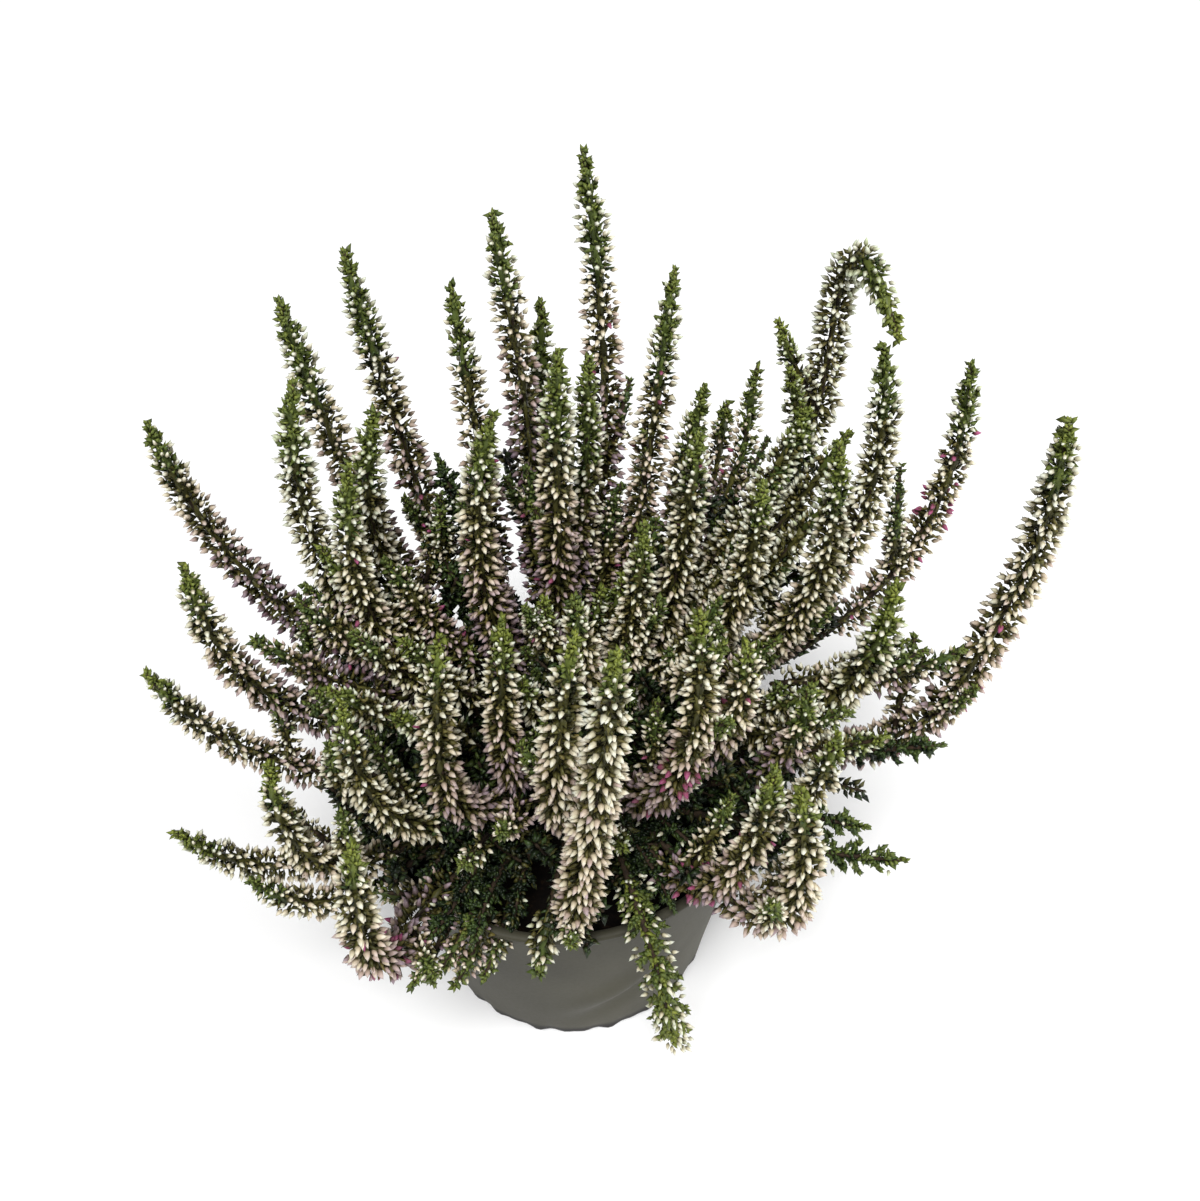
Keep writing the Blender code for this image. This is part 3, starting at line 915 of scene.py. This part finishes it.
def leafy(line, leafy_length, tone, budding, bushy=1.0):
    """All batches for one leafy shoot, with fresh leaves at its tip and old ones further in."""
    parts = [growing_tip(line, 1.0, tone - 0.05)]
    reach, many = TUFTS_OUT * bushy, int(TUFT_LEAVES * bushy)
    parts += side_tufts(line, 1.1, leafy_length, tone, reach, TUFTS_APART, many)
    parts.append(leaves_on(line, 4.0, leafy_length, 3.4, tone + 0.1))
    bare_end = line["from_tip"][0] - 3
    # Old leaves on the bare stretch are old green darkened nearly to black as painted shade.
    if bare_end - leafy_length > 2:
        parts.append(leaves_on(line, leafy_length, bare_end, 2.0, 0.7))
    s = spaced(leafy_length, lambda d: np.full_like(d, 6 * budding))
    number = len(s)
    turn = rng.uniform(0, math.tau, number)
    size = rng.uniform(2.2, 2.8, number)
    angle = rng.uniform(50, 90, number)
    tint = rng.uniform(0.05, 0.3, number)
    reach = rng.uniform(3.0, 4.6, number) * bushy
    parts.append(set_out(bud, line, s, turn, reach, angle, size, size, tint, BUD_BAND, 0.15))
    thin = as_line(line["points"][::2])
    parts.append(stem(thin, np.interp(thin["from_tip"], [0, 30], [0.5, 1.0]), 0.4))
    return parts


LEAFY = {"right": (0.42, 0.03), "front": (0.22, 0.35), "left": (0.62, 0.05)}
for name, (tone, budding) in LEAFY.items():
    node = "leafy_shoot_" + name
    line, leafy_length = shoot_line(node)
    parts = leafy(line, leafy_length, tone, budding)
    claim(gathered("leafy_" + name, parts), node)
print("leafy shoots:", len(LEAFY))

# %% [markdown]
# Between the long shoots grow many shorter sprigs. Each is given by the place of its tip in
# millimetres, its length and its kind, and it grows from the heart of the plant outwards.

# %% Short sprigs
HEART = np.array([0.0, 0.0, 95.0])
KINDS = {
    "green": (0.97, 1.0, 6, 0.03, 0.26, 0.0),
    "ivory": (0.97, 1.0, 6, 0.12, 0.34, 0.0),
    "blush": (0.97, 1.0, 6, 0.25, 0.58, 0.02),
    "mauve": (0.97, 1.0, 6, 0.45, 0.74, 0.03),
}
SPRIGS = {
    "left": [
        (-57, 0, 185, 50, "green"), (-42, 2, 178, 48, "blush"), (-63, -10, 177, 52, "blush"),
        (-49, -18, 173, 46, "ivory"), (-38, -15, 166, 42, "green"),
        (-73, -20, 174, 50, "mauve"), (-54, -32, 168, 42, "green"),
        (-38, -38, 165, 34, "green"), (-64, 3, 168, 45, "mauve"), (-60, -26, 160, 40, "blush"),
    ],
    "middle": [
        (-20, 12, 181, 45, "blush"), (-5, 18, 193, 50, "mauve"), (9, 20, 190, 50, "mauve"),
        (17, 22, 177, 45, "blush"), (28, 15, 176, 45, "ivory"), (19, 5, 166, 40, "green"),
        (13, 3, 163, 40, "green"), (-2, -5, 169, 35, "green"), (28, -8, 171, 40, "ivory"),
        (-8, -25, 161, 30, "green"),
    ],
    "right": [
        (66, 22, 206, 72, "green"), (76, 20, 200, 66, "green"), (61, 18, 191, 60, "ivory"),
        (72, 10, 188, 60, "green"), (51, 12, 171, 45, "ivory"), (63, 8, 167, 45, "ivory"),
        (75, 5, 150, 45, "blush"), (43, -8, 170, 40, "ivory"), (57, -15, 162, 38, "blush"),
        (74, -35, 157, 40, "ivory"), (83, -38, 150, 42, "green"), (94, -5, 148, 40, "green"),
        (94, -20, 162, 35, "ivory"), (103, -22, 164, 34, "blush"), (66, -28, 157, 25, "green"),
    ],
    "front": [
        (40, -42, 193, 35, "ivory"), (42, -50, 175, 22, "ivory"), (-22, -68, 86, 24, "ivory"),
        (-33, -72, 98, 22, "blush"), (-40, -74, 96, 20, "mauve"), (-29, -73, 92, 24, "blush"),
        (-24, -62, 135, 18, "ivory"), (-14, -58, 143, 28, "blush"), (17, -52, 124, 25, "green"),
    ],
}
LEAFY_SPRIGS = [
    (-30, 36, 182, 50), (-26, 32, 172, 45), (-36, 28, 166, 40), (81, -45, 120, 30),
    (101, -30, 135, 35), (94, -8, 141, 35), (13, 20, 156, 40), (-58, -4, 158, 40),
    (-46, 12, 160, 40), (-64, -22, 150, 35), (-46, -28, 150, 30), (-27, -62, 98, 26),
    (25, -62, 98, 26),
]


def sprig_line(tip, length, lift):
    """The line of a sprig, which bows up or, with a negative lift, sags and then turns upwards."""
    tip = np.array(tip, float)
    foot = tip + unit(HEART - tip) * length
    t = steps_along(length)
    bow = np.array([0, 0, 4 * lift * length]) * t * (1 - t)
    return as_line(foot + (tip - foot) * t + bow)


for side, rows in SPRIGS.items():
    parts = []
    for *tip, length, kind in rows:
        line = sprig_line(tip, length, -0.10)
        parts += dress(line, length - 2, KINDS[kind], SPRIG_TIP)
    claim(gathered("sprigs_" + side, parts))
parts = []
for *tip, length in LEAFY_SPRIGS:
    line = sprig_line(tip, length, -0.05)
    parts += leafy(line, length - 3, rng.uniform(0.45, 0.6), 0.02, 0.8)
claim(gathered("leafy_sprigs", parts))
print("short sprigs:", sum(map(len, SPRIGS.values())), "and leafy ones:", len(LEAFY_SPRIGS))

# %% [markdown]
# Old leafy twigs lie over the rim all round, apart from a gap at the front.

# %% Twigs over the rim
RIM_GAP = (-104, -76)
parts = []
for turn in range(-176, 180, 9):
    if RIM_GAP[0] < turn < RIM_GAP[1]:
        continue
    angle = math.radians(turn + rng.uniform(-3, 3))
    out = rng.uniform(60, 68) + 8 * (math.cos(angle) > 0.8)
    tip = (out * math.cos(angle), out * math.sin(angle), rng.uniform(90, 104))
    line = sprig_line(tip, rng.uniform(30, 40), 0.18)
    parts += leafy(line, line["from_tip"][0] - 3, rng.uniform(0.56, 0.66), 0.02, 0.8)
claim(gathered("rim_twigs", parts))
print("gap in the twigs over the rim:", RIM_GAP, "degrees")

# %% [markdown]
# The heart of the plant is filled with leafy twigs, whose old green leaves are darkened
# nearly to black as painted shade. They fork off the bare part of each shoot and turn upwards.
# High up the light gets in, so none grow there.

# %% Inner twigs
HIGHEST_INNER = 150.0
parts = []
for node in [name for name in nodes if "_shoot_" in name]:
    line, flowering = shoot_line(node)
    bare = line["from_tip"][0] - flowering - 6
    for distance in flowering + bare * rng.uniform(0, 1, max(2, int(bare / 9))):
        foot = np.array([distance])
        place = at(line, foot, "points")[0]
        if place[2] > HIGHEST_INNER:
            continue
        out = outward(line, foot, rng.uniform(0, math.tau, 1))[0]
        way = at(line, foot, "tangent")[0] * 0.5 + out + [0, 0, 0.35]
        twig = twig_line(place, way, rng.uniform(14, 30))
        end = twig["from_tip"][0]
        # Tones 0.66 to 0.76 are old green darkened nearly to black as painted shade.
        parts.append(leaves_on(twig, 0.2, end - 0.5, 2.4, rng.uniform(0.66, 0.76), 3.0))
        parts.append(stem(twig, np.full(len(twig["points"]), 0.45), 0.2))
inner = claim(gathered("inner_twigs", parts))
print("faces on the inner twigs:", len(inner.data.polygons))

# %% [markdown]
# Each woody branch gets knots where old twigs broke off.

# %% Woody branches
KNOT_SIZE, KNOT_CHANCE = 0.16, 0.08
for number, (middles, radii) in enumerate(branch_lines, 1):
    line = as_line(curve_through(middles, 1.5))
    plain = np.interp(line["from_tip"][::-1], [0, line["from_tip"][0]], radii[[0, -1]])
    knots = 1 + KNOT_SIZE * np.sin(line["from_tip"] * 1.3 + number)
    knots = knots + rng.uniform(-KNOT_CHANCE, KNOT_CHANCE, len(plain))
    piece = gathered(f"branch_{number}", [stem(line, plain * knots, 0.7)])
    claim(piece, f"woody_branch_{number}")
print("woody branches:", len(branch_lines))

# %% [markdown]
# Peat is dark and crumbly, and its browns are made nearly black as painted shade under the
# plant. It is a lathed plug whose top is broken up by noise.

# %% Peat
peat_finish, tree, shader = finish("peat", 0.95, 0.15)
place = add(tree, "ShaderNodeTexCoord").outputs["Object"]
crumbs = add(tree, "ShaderNodeTexNoise", Vector=place, Scale=420.0, Detail=5.0, Roughness=0.65)
# Painted shade: these peat browns are nearly black.
peat_with_painted_shade = [(0.35, "#070504"), (0.58, "#110B07"), (0.75, "#2C2014")]
tree.links.new(ramp(tree, crumbs.outputs["Fac"], peat_with_painted_shade), shader.inputs["Base Color"])


def to_piece(name, shape, material):
    """An object from a bmesh in millimetres, smooth and in the scene's metres."""
    bmesh.ops.scale(shape, vec=(MM, MM, MM), verts=shape.verts)
    for face in shape.faces:
        face.smooth = True
    mesh = bpy.data.meshes.new(name)
    shape.to_mesh(mesh)
    shape.free()
    mesh.materials.append(material)
    return linked(name, mesh)


PEAT_RINGS, PEAT_SIDES, CRUMB_HEIGHT = 26, 84, 1.3
low, high = [Vector(corner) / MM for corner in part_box("root_ball")]
PEAT_EDGE, PEAT_FOOT = high.x - 0.4, 39.8
top = [(PEAT_EDGE * i / PEAT_RINGS, high.z - 1.4) for i in range(PEAT_RINGS + 1)]
plug = lathed([*top, (PEAT_FOOT + 4.4, 12.0), (PEAT_FOOT, low.z), (0, low.z)], PEAT_SIDES)
for vertex in plug.verts:
    reach = math.hypot(vertex.co.x, vertex.co.y)
    if vertex.co.z > high.z - 2 and reach < PEAT_EDGE - 0.5:
        vertex.co.z += CRUMB_HEIGHT * noise.fractal(vertex.co * 0.35, 0.7, 2.1, 4)
claim(to_piece("peat", plug, peat_finish), "root_ball")
print("peat edge", round(PEAT_EDGE, 1), "mm from the axis")

# %% [markdown]
# The pot is thin injection-moulded polypropylene, taupe-grey and satin. Such a pot is soft
# enough to carry shallow dents, which bend the light into slanting bands. It is lathed with
# both its walls, dented, and then the drainage slots are cut through its heel. Its colour is
# painted darker towards the heel, as shade where it meets the floor.

# %% Pot profile
POT_SIDES, POT_SLOTS = 180, 8
BASE_RADIUS, TOP_RADIUS, WALL, HEEL, POT_HEIGHT = 45.0, 59.6, 1.2, 4.0, 92.0
HEEL_STANDS_OUT = 0.4
HEEL_ARC = [math.radians(-90 + 15 * i) for i in range(7)]
LIP = [(60.4, 89.8), (61.0, 90.3), (61.0, 91.4), (60.5, POT_HEIGHT)]


def wall_radius(height):
    """The outer wall's radius, which widens evenly towards the rim."""
    return BASE_RADIUS + (TOP_RADIUS - BASE_RADIUS) * height / POT_HEIGHT


def heel_points(centre, radius):
    """The rounded heel, from the underside up to the wall."""
    return [(centre + radius * math.cos(a), HEEL + radius * math.sin(a)) for a in HEEL_ARC]


outside = heel_points(BASE_RADIUS - HEEL + HEEL_STANDS_OUT, HEEL)
outside += [(wall_radius(h), h) for h in np.linspace(8, 89.4, 24)]
lip = [*LIP, (wall_radius(POT_HEIGHT) - WALL, POT_HEIGHT)]
inside = [(wall_radius(h) - WALL, h) for h in np.linspace(88, 8, 20)]
inside += heel_points(BASE_RADIUS - HEEL, HEEL - WALL)[::-1]
underside = [(0, 0), (15, 0), (30, 0)]
top_of_floor = [(30.0, WALL), (15.0, WALL), (0, WALL)]
shell = lathed([*underside, *outside, *lip, *inside, *top_of_floor], POT_SIDES)
print("pot faces:", len(shell.faces))

# %% Dents
DENT_DEPTH = 2.0
WALL_WAVES = [(3, 40, 0.25), (7, 0, 0.15)]
HEEL_WAVES = [(23, 0, 0.6), (37, 0, 0.45)]
HEEL_WAVE_HEIGHT = 5


def waves(angle, kinds):
    """Waves round the pot, each with its count, its start in degrees and its height."""
    return sum(size * math.sin(math.radians(count * angle + start)) for count, start, size in kinds)


def hill(distance, width):
    """1 at no distance, and less on both sides."""
    return math.exp(-((distance / width) ** 2))


def dent(angle, height):
    """How far the wall stands out, in millimetres, at an angle in degrees and a height."""
    soft = min(1.0, max(0.0, (88 - height) / 30)) * min(1.0, height / 6)
    soft *= min(1.0, height / 20)
    across = (angle + 76) * 0.9 - (height - 38) * 1.3
    band = hill(across, 9) - 0.9 * hill(across - 14, 10)
    near = math.exp(-(((angle + 74) / 15) ** 2) - ((height - 40) / 24) ** 2)
    wave = waves(angle, WALL_WAVES)
    scallop = waves(angle, HEEL_WAVES) * math.exp(-height / HEEL_WAVE_HEIGHT)
    return soft * (wave + DENT_DEPTH * band * near) + scallop


for vertex in shell.verts:
    reach = math.hypot(vertex.co.x, vertex.co.y)
    if reach > BASE_RADIUS - HEEL:
        angle = math.degrees(math.atan2(vertex.co.y, vertex.co.x))
        push = 1 + dent(angle, vertex.co.z) / reach
        vertex.co.x *= push
        vertex.co.y *= push
print("dent depth", DENT_DEPTH, "mm")

# %% Pot material and drainage slots
pot_finish, tree, shader = finish("taupe_polypropylene", 0.55, 0.15)
place = add(tree, "ShaderNodeTexCoord").outputs["Object"]
cloud = add(tree, "ShaderNodeTexNoise", Vector=place, Scale=18.0, Detail=2.0)
dust = add(tree, "ShaderNodeTexNoise", Vector=place, Scale=900.0, Detail=3.0)
grey = ramp(tree, cloud.outputs["Fac"], [(0.35, "#3D3B31"), (0.65, "#48463A")])
# Painted shade: the wall darkens below 8.5 mm towards its heel, as a contact shadow.
height = add(tree, "ShaderNodeSeparateXYZ", Vector=place).outputs["Z"]
heel_shade_mask = add(tree, "ShaderNodeMapRange", Value=height, From_Min=0.005, From_Max=0.0085)
painted_heel_shade = ramp(tree, heel_shade_mask.outputs["Result"], [(0.0, "#54443D"), (1.0, "#FFFFFF")])
wall = mixed(tree, 1.0, grey, painted_heel_shade, "MULTIPLY")
tree.links.new(wall, shader.inputs["Base Color"])
rough = add(tree, "ShaderNodeMapRange", Value=dust.outputs["Fac"], To_Min=0.50, To_Max=0.62)
tree.links.new(rough.outputs["Result"], shader.inputs["Roughness"])

SLOT_RADIUS, SLOT_LENGTH, SLOT_AXIS = 7.0, 14.0, -4.8
pot = to_piece("pot_shell", shell, pot_finish)
cutters = bmesh.new()
for index in range(POT_SLOTS):
    angle = math.tau * (index + 0.5) / POT_SLOTS
    turn = Matrix.Rotation(angle, 4, "Z") @ Matrix.Rotation(math.pi / 2, 4, "Y")
    spot = (BASE_RADIUS * math.cos(angle), BASE_RADIUS * math.sin(angle), SLOT_AXIS)
    put = Matrix.Translation(spot) @ turn
    size = dict(radius1=SLOT_RADIUS, radius2=SLOT_RADIUS, depth=SLOT_LENGTH)
    bmesh.ops.create_cone(cutters, cap_ends=True, segments=24, matrix=put, **size)
cutter = to_piece("slot_cutters", cutters, pot_finish)
cut = pot.modifiers.new("slots", "BOOLEAN")
cut.operation = "DIFFERENCE"
cut.object = cutter
graph = bpy.context.evaluated_depsgraph_get()
cut_mesh = bpy.data.meshes.new_from_object(pot.evaluated_get(graph))
pot.modifiers.clear()
pot.data = cut_mesh
bpy.data.objects.remove(cutter)
claim(pot, "pot")
print("pot faces after cutting:", len(cut_mesh.polygons))

# %% [markdown]
# The floor is a plain white sheet. A very wide sun stands in front of the plant and high above,
# so it lights the whole floor evenly and throws almost no edge. A weak disk fills from the
# right. The world adds a dim, even glow, but the camera sees it as white.

# %% Floor
FLOOR_SIZE = 6000.0
paper, _, shader = finish("white_paper", 0.9, 0.2)
shader.inputs["Base Color"].default_value = linear("#FCFCFC")
sheet = bmesh.new()
bmesh.ops.create_grid(sheet, x_segments=1, y_segments=1, size=FLOOR_SIZE)
floor = to_piece("floor", sheet, paper)
floor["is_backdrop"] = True
print("floor reaches", FLOOR_SIZE, "mm from the middle")

# %% Lights
SUN_FROM, SUN_SPREAD, SUN_STRENGTH = (-0.06, -0.5, 1.0), 24, 3.35
FILL_PLACE, FILL_SIZE, FILL_POWER = (1.0, -0.25, 0.6), 0.7, 6.0
FILL_TARGET = (0, 0, 0.12)
WORLD_GLOW = 0.09


def lamp(name, kind, energy, way):
    """A light that shines in a direction, and the object that holds it."""
    light = bpy.data.lights.new(name, kind)
    light.energy = energy
    holder = linked(name, light)
    holder.rotation_euler = way.to_track_quat("-Z", "Y").to_euler()
    return light, holder


sun, _ = lamp("key_sun", "SUN", SUN_STRENGTH, -Vector(SUN_FROM))
sun.angle = math.radians(SUN_SPREAD)
fill_way = Vector(FILL_TARGET) - Vector(FILL_PLACE)
fill, holder = lamp("side_light", "AREA", FILL_POWER, fill_way)
fill.shape = "DISK"
fill.size = FILL_SIZE
holder.location = FILL_PLACE
world = bpy.data.worlds.new("studio")
bpy.context.scene.world = world
world.use_nodes = True
tree = world.node_tree
background = tree.nodes["Background"]
background.inputs["Color"].default_value = linear("#FFFFFF")
seen = add(tree, "ShaderNodeLightPath").outputs["Is Camera Ray"]
glow = add(tree, "ShaderNodeMapRange", Value=seen, To_Min=WORLD_GLOW, To_Max=1.0)
tree.links.new(glow.outputs["Result"], background.inputs["Strength"])
bpy.context.scene.view_settings.view_transform = "Standard"
print("lights: sun, fill and world")

# %% Count the triangles
triangles = {
    piece.name: sum(len(face.vertices) - 2 for face in piece.data.polygons)
    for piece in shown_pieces()
}
print("triangles:", sum(triangles.values()), "most in a piece:", max(triangles.values()))
